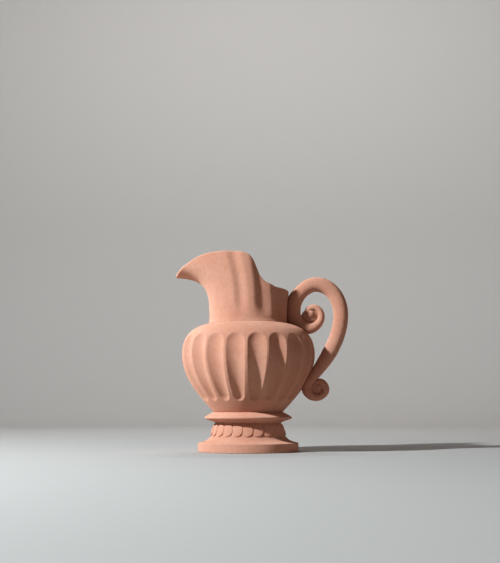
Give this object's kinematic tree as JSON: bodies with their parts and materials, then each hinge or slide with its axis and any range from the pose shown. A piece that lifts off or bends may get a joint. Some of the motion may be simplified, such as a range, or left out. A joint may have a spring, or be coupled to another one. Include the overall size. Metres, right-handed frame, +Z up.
{
  "type": "terracotta carafe",
  "caption": "Footed terracotta jug with a fluted belly, a folded neck that opens into a wide beak spout, and an arched handle rolled into a scroll at each end.",
  "frame": {"origin": "on the floor, under the middle of the jug's outline from above; the vessel's own axis is about 20 mm towards -X of it", "axes": "+Z up, +X towards the handle, -X towards the spout, and the XZ plane halves the spout and the handle"},
  "size_m": [0.2582, 0.1978, 0.2909],
  "materials": {
    "terracotta": "matte unglazed fired clay"
  },
  "bodies": {
    "root": {"foot_plinth": "terracotta", "foot_stem": "terracotta", "collar_disc": "terracotta", "belly_bowl": "terracotta", "belly_shoulder": "terracotta", "spouted_neck": "terracotta", "handle_arm": "terracotta", "upper_scroll": "terracotta", "lower_scroll": "terracotta", "foot_scale_01": "terracotta", "foot_scale_02": "terracotta", "foot_scale_03": "terracotta", "foot_scale_04": "terracotta", "foot_scale_05": "terracotta", "foot_scale_06": "terracotta", "foot_scale_07": "terracotta", "foot_scale_08": "terracotta", "foot_scale_09": "terracotta", "foot_scale_10": "terracotta", "foot_scale_11": "terracotta", "foot_scale_12": "terracotta", "foot_scale_13": "terracotta", "foot_scale_14": "terracotta", "foot_scale_15": "terracotta", "foot_scale_16": "terracotta", "foot_scale_17": "terracotta", "foot_scale_18": "terracotta", "foot_scale_19": "terracotta", "foot_scale_20": "terracotta", "foot_scale_21": "terracotta", "foot_scale_22": "terracotta"}
  },
  "joints": []
}
